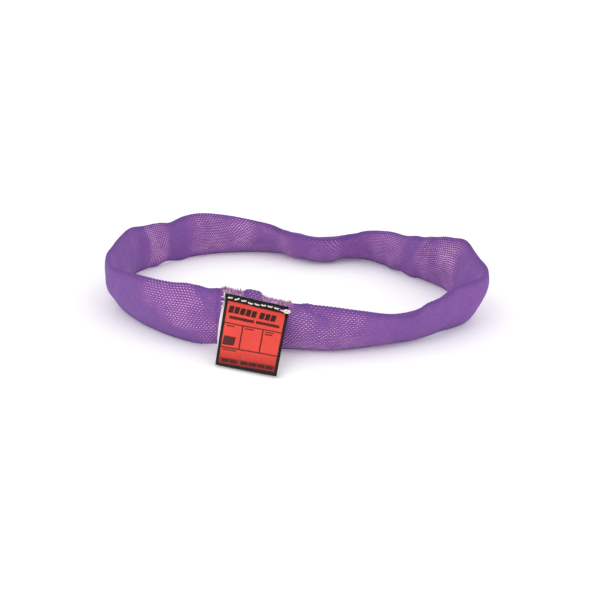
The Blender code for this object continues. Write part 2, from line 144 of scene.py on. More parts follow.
# The tag: places of its two side edges, and the sewn header and swinging leaf.
TAG_LEFT = 5
TAG_RIGHT = 7
HEADER_BELOW_FIN_TOP = 0.003
GAP = 0.0003
HEADER_THICKNESS = 0.0008
HEADER_UNDERLAP = 0.0005
CURL_RADIUS = 0.0022
CURL_LEFT = np.array((-0.0605, -0.1565, CURL_RADIUS + 0.0006))
CURL_RIGHT = np.array((-0.0135, -0.1790, CURL_RADIUS + 0.0006))
CURL_DEGREES = 110
LEAF_BOW = 0.0015
TAG_COLUMNS = 40
TAG_ROWS = 56
CURL_ROWS = 14
FACE_THICKNESS = 0.0006
BACKING_THICKNESS = 0.0004
BACKING_SHORTER = 0.007
BACKING_SLIP = 0.0022

# The thread: the stitches on the header, each starting and running at these shares of its part
# of the line; the short stitches at the side, each a drop and a half length; the loops of the
# loose end; and the plies, with their lay in radians a metre and their depth as a share.
STITCHES = 9
STITCH_MARGIN = 0.07
STITCH_BELOW_HEADER_TOP = 0.0032
STITCH_START = 0.12
STITCH_SHARE = 0.72
SIDE_STITCHES = ((0.0035, 0.0012), (0.0068, 0.0014), (0.0098, 0.0010))
BUNCH_LOOPS = 4
THREAD_RADIUS = 0.00070
PLIES = 3
PLY_LAY = 4200
PLY_DEPTH = 0.24

# The frayed yarn ends on the fin.
FRAYED_ENDS = 800
FRAY_POINTS = 5
FRAY_SIDES = 4

# The camera at the photograph's angle, aimed at the origin that the stations are measured from.
CAMERA_OFFSET = (0.0, -0.92936, 0.33826)
CAMERA_LENS_MM = 67.05
SENSOR_MM = 36.0


# ---- small mathematics


def unit(vectors):
    return vectors / np.linalg.norm(vectors, axis=-1, keepdims=True)


def ramp(value, start, end):
    """From 0 at start to 1 at end, smoothly."""
    share = np.clip((value - start) / (end - start), 0, 1)
    return share * share * (3 - 2 * share)


def hump(value, middle, half):
    """1 at the middle, falling smoothly to 0 at this distance from it and beyond."""
    return 1 - ramp(np.abs(value - middle), 0, half)


def mound(value, middle, half):
    """Like hump, with a flat top over a little under half of it."""
    return 1 - ramp(np.abs(value - middle), half * 0.45, half)


def stations_at(place):
    """The stations' five numbers at places along the loop, by a smooth curve through them."""
    first = np.floor(place).astype(int)
    share = (place - first)[..., None]
    before, here, after, later = (STATIONS[(first + step) % TURN] for step in (-1, 0, 1, 2))
    slope_here = (after - before) / 2
    slope_after = (later - here) / 2
    rise = after - here
    return (
        here
        + slope_here * share
        + (3 * rise - 2 * slope_here - slope_after) * share**2
        + (slope_here + slope_after - 2 * rise) * share**3
    )


class Band:
    """The band at places along the loop: its directions, its middle and its sizes, as arrays."""

    def __init__(self, place):
        place = np.asarray(place, float)
        x, y, width, lean, bulge = np.moveaxis(stations_at(place), -1, 0)
        step = stations_at(place + 0.02) - stations_at(place - 0.02)
        flat = np.zeros_like(x)
        self.along = unit(np.stack([step[..., 0], step[..., 1], flat], -1))
        out = np.stack([self.along[..., 1], -self.along[..., 0], flat], -1)
        lean = np.radians(lean)[..., None]
        self.up = UP * np.cos(lean) + out * np.sin(lean)
        self.face = out * np.cos(lean) - UP * np.sin(lean)
        here = place % TURN
        pinched = FIN_HEIGHT * ramp(here, *FIN_RISE) * (1 - ramp(here, *FIN_FALL))
        self.half = (width - pinched) / 2
        self.fin = np.where(place < TURN, pinched, 0.0)
        self.bulge = bulge
        self.middle = np.stack([x, y, flat], -1) - LOOP_CENTRE + self.up * self.half[..., None]

    def point(self, across, out):
        """A point this far up the band and this far out of its face, from mid-width."""
        raised = self.up * np.asarray(across)[..., None]
        return self.middle + raised + self.face * np.asarray(out)[..., None]

    def out_at(self, across):
        """How far out the band's face lies at a height across the width, the fin's face included."""
        lens = EDGE_HALF + (self.bulge - EDGE_HALF) * (1 - np.clip(across / self.half, -1, 1) ** 2)
        low = self.half * math.cos(CHORD_START)
        low_out = EDGE_HALF + (self.bulge - EDGE_HALF) * math.sin(CHORD_START) ** 2
        top = self.half + self.fin
        chord = low_out + (EDGE_HALF - low_out) * np.clip((across - low) / (top - low), 0, 1)
        return np.where(across > low, chord, lens)


def distance_along():
    """Places along the loop and the distance to each, for spacing the rings evenly."""
    places = np.linspace(COVER_END, TUCKED_END, 4000)
    middles = Band(places).middle
    steps = np.linalg.norm(np.diff(middles, axis=0), axis=1)
    return places, np.concatenate([[0], np.cumsum(steps)])


PLACES, DISTANCES = distance_along()


# ---- meshes and objects


def grid_faces(rows, columns, closed):
    """Quads of a grid of points in rows, whose columns close on themselves or not."""
    row, column = np.meshgrid(
        np.arange(rows - 1), np.arange(columns if closed else columns - 1), indexing="ij"
    )
    after = (column + 1) % columns
    here, next_row = row * columns, (row + 1) * columns
    corners = (here + column, here + after, next_row + after, next_row + column)
    return np.stack(corners, -1).reshape(-1, 4)


def make_mesh(name, points, faces, uvs=None, values=None):
    """A smooth-shaded object from arrays, with UVs for each face corner and named point values."""
    mesh = bpy.data.meshes.new(name)
    mesh.from_pydata(points.reshape(-1, 3).tolist(), [], [list(face) for face in faces])
    if uvs is not None:
        mesh.uv_layers.new(name="weave").data.foreach_set("uv", np.asarray(uvs, float).ravel())
    for key, value in (values or {}).items():
        mesh.attributes.new(key, "FLOAT", "POINT").data.foreach_set("value", np.ravel(value))
    mesh.shade_smooth()
    obj = bpy.data.objects.new(name, mesh)
    bpy.context.scene.collection.objects.link(obj)
    return obj


def tube_along(line, radius, sides, twist=0.0, lobes=0, lobe_depth=0.0):
    """Rings of a tube along a line of points, with twisted lobes like the plies of a thread."""
    line = np.asarray(line, float)
    radius = np.broadcast_to(radius, len(line))
    tangent = unit(np.gradient(line, axis=0))
    off_upright = UP + 0.01
    side = unit(np.cross(tangent[0], off_upright))
    run = np.concatenate([[0], np.cumsum(np.linalg.norm(np.diff(line, axis=0), axis=1))])
    rings = []
    for index, point in enumerate(line):
        side = unit(side - tangent[index] * (side @ tangent[index]))
        other = np.cross(tangent[index], side)
        angle = np.arange(sides) * 2 * math.pi / sides
        lobe = 1 - lobe_depth * (0.5 - 0.5 * np.cos(lobes * angle - twist * run[index]))
        reach = (radius[index] * lobe)[:, None]
        rings.append(point + reach * (np.cos(angle)[:, None] * side + np.sin(angle)[:, None] * other))
    return np.array(rings)


def joined_tubes(tubes):
    """The points and faces of several tubes, each closed by its end rings' polygons."""
    points, faces, start = [], [], 0
    for rings in tubes:
        rows, sides = rings.shape[:2]
        points.append(rings.reshape(-1, 3))
        faces += (grid_faces(rows, sides, True) + start).tolist()
        faces.append((np.arange(sides)[::-1] + start).tolist())
        faces.append((np.arange(sides) + start + (rows - 1) * sides).tolist())
        start += rows * sides
    return np.vstack(points), faces


# ---- the jacket

# Where the tube is stretched over a thick part of the core and its weave opens: place and half
# length in stations, share down the face and half height, strength, and 1 for the outer face
# or -1 for the inner.
STRETCHED = [
    (3.1, 1.2, 0.20, 0.33, 0.75, 1),
    (3.8, 1.4, 0.44, 0.40, 0.95, 1),
    (4.7, 1.0, 0.75, 0.40, 1.00, 1),
    (7.9, 1.9, 0.50, 0.66, 1.20, 1),
    (9.3, 1.1, 0.50, 0.62, 0.45, 1),
    (16.5, 1.9, 0.50, 0.60, 1.35, -1),
    (19.6, 1.3, 0.42, 0.55, 0.85, -1),
    (21.2, 1.2, 0.42, 0.55, 0.55, -1),
    (23.4, 1.8, 0.35, 0.60, 0.60, -1),
    (25.4, 2.2, 0.45, 0.60, 0.90, -1),
    (27.1, 1.7, 0.45, 0.62, 1.25, -1),
    (29.85, 0.85, 0.45, 0.64, 1.20, -1),
    (31.3, 0.5, 0.22, 0.30, 0.45, -1),
    (12.0, 4.0, 0.50, 0.50, 0.12, 1),
    (8.2, 1.1, 1.00, 0.12, 1.30, 1),
    (5.92, 0.34, 0.04, 0.06, 0.60, 1),
]

# Creases: from one point on the band to another, each a place and a share down the face, then
# the half width in shares of a station, the depth (negative for a ridge) and the face.
CREASES = [
    (17.75, 0.0, 19.15, 1.0, 0.26, 0.0005, -1),
    (17.25, 0.0, 18.60, 1.0, 0.36, -0.0018, -1),
    (18.35, 0.0, 19.75, 1.0, 0.36, -0.0014, -1),
    (28.55, 0.0, 29.20, 1.0, 0.26, 0.0005, -1),
    (28.05, 0.0, 28.65, 1.0, 0.36, -0.0012, -1),
    (29.10, 0.0, 29.70, 0.9, 0.34, -0.0016, -1),
    (30.55, 0.0, 30.35, 0.7, 0.25, 0.0004, -1),
    (3.7, 0.0, 4.7, 0.35, 0.25, 0.0005, 1),
    (7.25, 0.0, 8.1, 0.2, 0.25, 0.0005, 1),
    (7.6, 0.0, 8.5, 0.2, 0.25, -0.0009, 1),
    (10.62, 0.0, 11.3, 0.45, 0.26, 0.0001, 1),
    (11.1, 0.0, 11.7, 0.40, 0.34, -0.0012, 1),
    (1.0, 0.2, 0.2, 0.75, 0.35, -0.0008, 1),
    (13.4, 0.9, 14.3, 0.2, 0.5, -0.0008, 1),
    (0.6, 0.0, 1.6, 1.0, 1.5, -0.0007, -1),
    (14.0, 0.0, 14.6, 1.0, 1.2, -0.0005, -1),
]

# How much of a stretched zone shows on the other face, and the depth of a crease that closes
# the weave completely.
OTHER_FACE_SHARE = 0.35
FULL_FOLD = 0.0005

# Small drops of the upper edge and rises of the lower edge (the other way where negative):
# place, half length in stations and metres.
TOP_DROPS = [
    (3.6, 0.7, -0.0018),
    (4.35, 0.5, 0.0006),
    (10.35, 0.45, 0.0012),
    (10.62, 0.30, 0.0010),
    (10.92, 0.24, -0.0040),
    (11.18, 0.32, -0.0034),
    (15.2, 1.0, -0.0034),
    (17.8, 0.45, 0.0014),
    (17.2, 0.6, 0.0008),
    (19.4, 0.7, -0.0010),
    (22.9, 0.5, 0.0010),
    (28.95, 0.5, 0.0022),
    (29.9, 0.8, -0.0014),
]
BOTTOM_RISES = [(11.60, 0.7, 0.0022), (21.0, 0.6, 0.0012), (29.3, 0.7, 0.0014)]

# The ripples: length along and slant across in metres, phase, and height in metres.
RIPPLES = [
    (0.061, 0.050, 0.3, 0.00030),
    (0.037, -0.031, 1.9, 0.00022),
    (0.023, 0.040, 4.1, 0.00016),
    (0.0145, -0.060, 2.6, 0.00010),
]


def first_turn(place):
    """Places on the tucked end, counted again from the start of the loop."""
    return np.where(place >= TURN, place - TURN, place)


def stretch_at(place, share, face):
    """How far the weave is opened at points of the band: 0 is closed and 1 is wide open."""
    total = np.zeros_like(place)
    place = first_turn(place)
    for middle, half, height, reach, strength, side in STRETCHED:
        mask = mound(place, middle, half) * mound(share, height, reach) * strength
        total = np.maximum(total, mask * np.where(face == side, 1.0, OTHER_FACE_SHARE))
    folded = np.clip(-crease_height(place, share, face, folds_only=True) / FULL_FOLD, 0, 1)
    return total * (1 - folded)


def crease_height(place, share, face, folds_only=False):
    """How far creases and ridges lift the surface, in metres, or the creases alone."""
    height = np.zeros_like(place)
    place = first_turn(place)
    for place_a, share_a, place_b, share_b, half, depth, side in CREASES:
        if folds_only and depth < 0:
            continue
        run = np.clip((share - share_a) / (share_b - share_a), 0, 1)
        off = place - (place_a + (place_b - place_a) * run)
        past = np.abs(share - share_a - (share_b - share_a) * run)
        strength = hump(off, 0, half) * (1 - ramp(past, 0, 0.25))
        height -= depth * strength * np.where(face == side, 1.0, 0.0)
    return height


def ripples(distance, across):
    """Soft unevenness of a stuffed textile, a few tenths of a millimetre."""
    total = np.zeros_like(distance)
    for length, slant, phase, height in RIPPLES:
        total += height * np.sin(2 * math.pi * (distance / length + across / slant) + phase)
    return total


def yarn_slip(place, share):
    """How far a yarn that runs across the band strays along it, in metres: a little all round,
    a slant where the weave is pulled one way, a bow where it is folded, and none at the ends."""
    slip = 0.0011 * np.sin(place * 1.7 + share * 2.6) + 0.0006 * np.sin(place * 4.3 - share * 5.0)
    slip += 0.016 * (share - 0.5) * mound(place, 2.9, 2.4)
    slip += 0.0022 * np.sin(share * 8.0) * mound(place, 29.6, 1.3)
    slip += 0.0030 * np.sin(share * 3.1) * mound(place, 24.0, 2.5)
    slip -= 0.0060 * (share - 0.5) * mound(place, 19.6, 1.4)
    after_start = ramp(place, COVER_END, COVER_END + STILL_END)
    return slip * after_start * (1 - ramp(place, TUCKED_END - STILL_END, TUCKED_END))


def band_surface(distance, turn, depth):
    """Points of the flattened tube: along it by distance, and once round it from the upper edge
    (turn 0) down the outer face to the lower edge (0.5) and up the inner face."""
    outer = turn < 0.5
    share = np.where(outer, turn * 2, 2 - turn * 2)
    face = np.where(outer, 1, -1)
    place = np.interp(distance, DISTANCES, PLACES)
    place = np.clip(place + yarn_slip(place, share) / STATION_LENGTH, COVER_END, TUCKED_END)
    band = Band(place)
    tuck = TUCK_DEPTH * ramp(place, *TUCK_SLOPE)
    under_cover = ramp(place, *TUCK_UNDER)
    top = band.half + band.fin - EDGE_SHRINK * (tuck * under_cover + depth)
    top += fold_bump(place) * FOLD_HEIGHT - humps_at(place, TOP_DROPS)
    bottom = -band.half + EDGE_SHRINK * (tuck + depth) + humps_at(place, BOTTOM_RISES)
    across = top + (bottom - top) * share
    out = band.out_at(across) - tuck - depth
    out += FOOT_EXTRA * ramp(share, 0.9, 1.0)
    out = np.maximum(out, LEAST_OUT)
    edge = np.minimum(share, 1 - share)
    out = np.where(edge <= 0, 0.0, out)
    points = band.point(across, out * face)
    return points, place, share, face, band, across


def humps_at(place, humps):
    """The sum of these humps at places along the loop, in metres."""
    place = first_turn(place)
    return sum(height * hump(place, middle, half) for middle, half, height in humps)


def fold_bump(place):
    """The fold of the jacket that stands up behind the tag, from 0 to 1: steeper on its right."""
    rise = ramp(place, *FOLD_RISE) * (1 - ramp(place, *FOLD_FALL))
    return np.where(place < TURN, rise, 0.0)


def outward_normals(points, band, face):
    """Unit normals of the tube's grid of points, which closes round its second axis."""
    along = np.gradient(points, axis=0)
    round_it = np.roll(points, -1, axis=1) - np.roll(points, 1, axis=1)
    normals = unit(np.cross(along, round_it))
    outer_face = slice(5, 45)
    facing_out = (normals * band.face).sum(-1) * face
    return -normals if facing_out[:, outer_face].mean() < 0 else normals


def yarn_relief(ring, point, stretch):
    """How far the yarns stand up: every other point, staggered from ring to ring."""
    raised = (ring + point // 2) % 2 == 0
    on_yarn = np.where(point % 2 == 0, np.where(raised, YARN_TOP, YARN_LOW), BETWEEN_YARNS)
    return (RELIEF_PLAIN + (RELIEF_STRETCHED - RELIEF_PLAIN) * stretch) * on_yarn


def edge_lobes(ring, place, share):
    """The yarns' loops along the band's two edges, in shares of a scallop's height: those of the
    lower edge are longer, and stronger at the front left."""
    patchy = 0.35 + 0.65 * ramp(np.sin(place * 2.3 + 1.0), -0.6, 0.6)
    lobe = np.where(ring % 2 == 0, 1.0, 0.0) * patchy
    foot_lobe = 0.5 - 0.5 * np.cos(2 * math.pi * ring / 3)
    front_left = (1 - ramp(place, 4.5, 5.5)) * ramp(place, 0.3, 1.2)
    return np.where(share < 0.5, lobe - 0.5, (0.5 + 1.8 * front_left) * foot_lobe)


def fray_share(place, share, band):
    """Where the upper edge is raw, from 0 to 1: on the fin behind the tag, not on the fold."""
    at_edge = ramp(share, 0.085, 0.045) * ramp(band.fin, 0.003, 0.007)
    off_fold = at_edge * (1 - ramp(fold_bump(place), 0.2, 0.6))
    return off_fold * (1 - ramp(place, TAG_RIGHT, TAG_RIGHT + 0.2))


def woven_surface(distance, turn):
    """The outside of the jacket with its yarns, swells and creases, and how its points look."""
    points, place, share, face, band, across = band_surface(distance, turn, 0.0)
    stretch = stretch_at(place, share, face)
    normals = outward_normals(points, band, face)
    ring, point = np.indices(place.shape)
    from_edge = np.minimum(share, 1 - share)
    middle = ramp(from_edge, 0.0, 0.12)
    untucked = 1 - ramp(place, *TUCK_SLOPE)
    swell = ripples(distance, across) * middle + STRETCH_SWELL * stretch * middle
    height = yarn_relief(ring, point, stretch)
    height += (swell + crease_height(place, share, face)) * untucked
    height += FOLD_BULGE * fold_bump(place) * ramp(share, 0.35, 0.0) * (face < 0)
    points = points + normals * height[..., None]

    edge = np.exp(-((from_edge * 14) ** 2))
    lobes = SCALLOP_HEIGHT * edge * edge_lobes(ring, place, share) * untucked
    points = points + band.up * lobes[..., None]
    points[..., 2] = np.maximum(points[..., 2], FLOOR_CLEARANCE)
    return points, {"stretch": stretch, "edge": edge, "fray": fray_share(place, share, band)}


def jacket_places(rings):
    """The distance along the jacket and the turn round it of each point, in evenly spaced rings."""
    distance = np.linspace(0, DISTANCES[-1], rings)
    turn = np.arange(POINTS_ROUND) / POINTS_ROUND
    return np.meshgrid(distance, turn, indexing="ij")


def jacket_faces():
    """The jacket's outer and inner skins as quads, and the rims that join them at its two ends."""
    outer = grid_faces(RINGS, POINTS_ROUND, True)
    start = RINGS * POINTS_ROUND
    inner = grid_faces(INNER_RINGS, POINTS_ROUND, True)[:, ::-1] + start
    here = np.arange(POINTS_ROUND)
    after = (here + 1) % POINTS_ROUND
    last = (RINGS - 1) * POINTS_ROUND
    inner_last = start + (INNER_RINGS - 1) * POINTS_ROUND
    front_rim = np.stack([after, here, start + here, start + after], -1)
    back_rim = np.stack([last + here, last + after, inner_last + after, inner_last + here], -1)
    return np.vstack([outer, inner, front_rim, back_rim])


def lattice_uvs(face_count):
    """UVs that count the weave's cells, half a cell to a ring and to a point, on the outer skin."""
    ring, point = np.indices((RINGS - 1, POINTS_ROUND))
    u = ring / 2 + 0.5
    v = point / 2 + 0.5
    corners = [(u, v), (u, v + 0.5), (u + 0.5, v + 0.5), (u + 0.5, v)]
    outer = np.stack([np.stack(corner, -1) for corner in corners], 2).reshape(-1, 2)
    return np.vstack([outer, np.zeros((face_count * 4 - len(outer), 2))])


def jacket_object():
    points, looks = woven_surface(*jacket_places(RINGS))
    inner = band_surface(*jacket_places(INNER_RINGS), WALL)[0]
    inner[..., 2] = np.maximum(inner[..., 2], INNER_FLOOR_CLEARANCE)
    unseen = np.zeros(INNER_RINGS * POINTS_ROUND)
    values = {key: np.concatenate([value.ravel(), unseen]) for key, value in looks.items()}
    all_points = np.vstack([points.reshape(-1, 3), inner.reshape(-1, 3)])
    faces = jacket_faces()
    return make_mesh("jacket", all_points, faces, lattice_uvs(len(faces)), values)


# ---- the frayed fin


def frayed_end(place, random):
    """The line of one yarn end, rooted a little below the fin's upper edge and bent over."""
    band = Band(np.array(place))
    side = random.uniform(-0.6, 1)
    sunk = random.uniform(0.0004, 0.0028)
    root = band.half + band.fin - sunk + FOLD_HEIGHT * float(fold_bump(np.array(place)))
    taller = 1.1 - 0.40 * (place - TAG_LEFT)
    length = sunk * 0.7 + random.uniform(0.0001, 0.0010) * taller
    sway = random.normal(0, 0.0009, 3)
    line = []
    for share in np.linspace(0, 1, FRAY_POINTS):
        droop = share * share
        out = np.array(side * (0.0008 + 0.0004 * share))
        point = band.point(np.array(root + length * share), out)
        line.append(point + sway * droop + band.face * random.normal(0, 0.00012))
    return np.array(line)


def fray_object():
    """Short yarn ends standing along the fin's raw upper edge."""
    random = np.random.default_rng(7)
    tubes, tints = [], []
    while len(tubes) < FRAYED_ENDS:
        place = random.uniform(TAG_LEFT - 0.12, TAG_RIGHT + 0.12)
        if fold_bump(np.array(place)) > 0.4:
            continue
        line = frayed_end(place, random)
        radius = random.uniform(0.00014, 0.00028) * np.linspace(1.0, 0.6, FRAY_POINTS)
        tubes.append(tube_along(line, radius, FRAY_SIDES))
        tints.append(np.full(FRAY_POINTS * FRAY_SIDES, random.random()))
    points, faces = joined_tubes(tubes)
    return make_mesh("fin_fray", points, faces, values={"tint": np.concatenate(tints)})


# ---- the tag


def fin_front(place, below_top, out):
    """A point on the fin's front, this far below the header's top and this far out of the cloth."""
    band = Band(np.array(float(place)))
    across = band.half + band.fin - HEADER_BELOW_FIN_TOP - below_top
    return band.point(across, band.out_at(across) + out)


def header_height(place):
    """The height of the sewn header, which reaches a little below the fin."""
    return float(Band(np.array(float(place))).fin) - HEADER_BELOW_FIN_TOP + HEADER_UNDERLAP


def hinge_end(place):
    """The point at this place on the line where the leaf bends, just below the header."""
    return fin_front(place, header_height(place) + GAP, GAP + HEADER_THICKNESS)


HINGE_LEFT = hinge_end(TAG_LEFT)
HINGE_RIGHT = hinge_end(TAG_RIGHT)
HINGE_AXIS = unit(HINGE_LEFT - HINGE_RIGHT)


def rotate(vector, axis, degrees):
    return np.array(Matrix.Rotation(math.radians(degrees), 3, Vector(axis)) @ Vector(vector))


class LeafLine:
    """The tag's leaf at a share of its width: from the bend line straight down to its bottom curl."""

    def __init__(self, share):
        self.hinge = HINGE_LEFT + (HINGE_RIGHT - HINGE_LEFT) * share
        self.centre = CURL_LEFT + (CURL_RIGHT - CURL_LEFT) * share - LOOP_CENTRE
        reach = self.centre - self.hinge
        length = np.linalg.norm(reach)
        self.down = unit(rotate(reach, HINGE_AXIS, math.degrees(math.asin(CURL_RADIUS / length))))
        self.length = math.sqrt(length**2 - CURL_RADIUS**2)
        self.out = unit(np.cross(HINGE_AXIS, self.down))

    def straight(self, distance, behind=0.0):
        """A point this far down the leaf, slightly bowed outward, and this far behind its face."""
        share = distance / self.length
        bow = LEAF_BOW * 4 * share * (1 - share)
        return self.hinge + self.down * distance + self.out * (bow - behind)

    def curl(self, degrees):
        """A point this far round the curl at the leaf's end."""
        angle = math.radians(degrees)
        return self.centre + (self.out * math.cos(angle) + self.down * math.sin(angle)) * CURL_RADIUS


def even_line(line, count):
    """The same line with evenly spaced points."""
    line = np.asarray(line)
    run = np.concatenate([[0], np.cumsum(np.linalg.norm(np.diff(line, axis=0), axis=1))])
    at = np.linspace(0, run[-1], count)
    return np.stack([np.interp(at, run, line[:, axis]) for axis in range(3)], -1)


def tag_wave(share, down):
    """The coated sheet's slight waves, in metres."""
    wave = 0.00035 * math.sin(share * 7.1 + down * 4.0) + 0.00022 * math.sin(down * 13.0 - share * 5.0)
    side_lift = 0.0007 * abs(2 * share - 1) ** 3 * math.sin(math.pi * down)
    return (wave - side_lift) * math.sin(math.pi * min(1.0, down * 1.1))


def tag_face_object():
    """The printed sheet: sewn to the fin at its top, hanging free below, curled under at its end."""
    columns = []
    for step in range(TAG_COLUMNS + 1):
        share = step / TAG_COLUMNS
        place = TAG_LEFT + (TAG_RIGHT - TAG_LEFT) * share
        leaf = LeafLine(share)
        height = header_height(place)
        mid_sheet = GAP + HEADER_THICKNESS / 2
        line = [fin_front(place, height * down, mid_sheet) for down in (0, 0.3, 0.6, 0.85)]
        bend = leaf.straight(0.0006)
        line.append((line[-1] + bend) / 2)
        line += [leaf.straight(distance) for distance in np.linspace(0.0006, leaf.length, 24)]
        line += [leaf.curl(degrees) for degrees in np.linspace(0, CURL_DEGREES, CURL_ROWS)[1:]]
        line = even_line(line, TAG_ROWS + 1)
        down = np.linspace(0, 1, TAG_ROWS + 1)
        wave = np.array([tag_wave(share, value) for value in down])
        columns.append(line + leaf.out * wave[:, None])
    return sheet_object("tag_face", np.array(columns), FACE_THICKNESS)


def tag_backing_object():
    """The white sheet behind the printed one, slipped a little to the left."""
    columns = []
    for step in range(TAG_COLUMNS // 2 + 1):
        share = step / (TAG_COLUMNS // 2)
        place = TAG_LEFT + (TAG_RIGHT - TAG_LEFT) * share
        leaf = LeafLine(share)
        height = header_height(place)
        line = [fin_front(place, height * down, 0.00012) for down in (0.0, 0.35, 0.7, 1.0)]
        for distance in np.linspace(0.0014, leaf.length - BACKING_SHORTER, 28):
            slack = math.sin(math.pi * distance / leaf.length)
            line.append(leaf.straight(distance, 0.0010 + 0.0010 * slack))
        line = even_line(line, TAG_ROWS + 1)
        down = np.linspace(0, 1, TAG_ROWS + 1)
        slip = BACKING_SLIP * (0.55 + 0.45 * np.sin(math.pi * np.clip(down * 1.15, 0, 1)))
        slip = slip * (1 - 0.6 * ramp(down, 0.75, 1.0))
        columns.append(line + HINGE_AXIS * slip[:, None])
    return sheet_object("tag_backing_sheet", np.array(columns), BACKING_THICKNESS)


def sheet_object(name, columns, thickness):
    """A sheet from columns of points, with UVs from 0 to 1 across and down, given its thickness."""
    across, down = columns.shape[:2]
    faces = grid_faces(across, down, False)
    u = np.repeat(np.linspace(0, 1, across), down)
    v = np.tile(np.linspace(0, 1, down), across)
    uvs = np.stack([u, v], -1)[faces.ravel()]
    obj = make_mesh(name, columns, faces, uvs)
    shell = obj.modifiers.new("thickness", "SOLIDIFY")
    shell.thickness = thickness
    shell.offset = 0
    shell.use_even_offset = True
    return obj


# ---- the stitching


def stitch_line(share):
    """The place and height of the stitch line at a share of its length."""
    place = TAG_LEFT + STITCH_MARGIN + (TAG_RIGHT - TAG_LEFT - 2 * STITCH_MARGIN) * share
    band = Band(np.array(place))
    wander = 0.0005 * math.sin(share * 11) + 0.00025 * math.sin(share * 31)
    across = band.half + band.fin - HEADER_BELOW_FIN_TOP - STITCH_BELOW_HEADER_TOP + wander
    return band, across


def thread_tube(line, radius, sides):
    """A tube along a line with the thread's twisted plies."""
    return tube_along(line, radius, sides, twist=PLY_LAY, lobes=PLIES, lobe_depth=PLY_DEPTH)


def stitches(on_front):
    """One tube for each stitch: out of a hole, along the surface and down into the next."""
    random = np.random.default_rng(11 if on_front else 12)
    cover = GAP + HEADER_THICKNESS if on_front else 0.0
    sign = 1 if on_front else -1
    tubes = []
    for stitch in range(STITCHES):
        tilt = random.normal(0, 0.00030)
        line = []
        for step in np.linspace(0, 1, 17):
            band, across = stitch_line((stitch + STITCH_START + step * STITCH_SHARE) / STITCHES)
            lift = min(1.0, math.sin(math.pi * step) * 2.4)
            out = float(band.out_at(across)) + cover + THREAD_RADIUS * 0.8
            out -= (1 - lift) * 0.0012
            line.append(band.point(across + tilt * (step - 0.5) * 4, sign * out))
        radius = THREAD_RADIUS * (0.78 + 0.22 * np.sin(math.pi * np.linspace(0, 1, 17)))
        tubes.append(thread_tube(line, radius, 12))
    return tubes


def thread_bunch():
    """The knotted loose end at the tag's right corner: four tight, open loops."""
    random = np.random.default_rng(5)
    band, across = stitch_line(0.985)
    base = band.point(across, band.out_at(across) + GAP + HEADER_THICKNESS + THREAD_RADIUS)
    tubes = []
    for loop in range(BUNCH_LOOPS):
        start_angle = random.uniform(0, 6)
        size = random.uniform(0.0011, 0.0020)
        line = []
        for step in np.linspace(0, 1, 26):
            angle = start_angle + step * random.uniform(5.2, 5.4)
            along = size * math.cos(angle) + 0.0022 * (step - 0.3) + 0.0004 * loop
            rise = 0.0016 + size * 0.7 * math.sin(angle) - 0.0012 * step
            out = 0.0006 + 0.0009 * math.sin(math.pi * step) + 0.0003 * loop
            line.append(base + band.along * along + band.up * rise + band.face * out)
        tubes.append(thread_tube(even_line(line, 40), THREAD_RADIUS * 0.8, 10))
    return tubes


def side_dots():
    """Three short stitches in the jacket just left of the tag."""
    tubes = []
    for drop, reach in SIDE_STITCHES:
        band = Band(np.array(TAG_LEFT - 0.10))
        across = band.half + band.fin - HEADER_BELOW_FIN_TOP - drop
        line = []
        for step in np.linspace(0, 1, 9):
            out = float(band.out_at(across)) + 0.0006 * math.sin(math.pi * step)
            line.append(band.point(across + 0.0005 * step, out) + band.along * (step - 0.5) * 2 * reach)
        tubes.append(thread_tube(line, THREAD_RADIUS * 0.8, 10))
    return tubes


# ---- materials


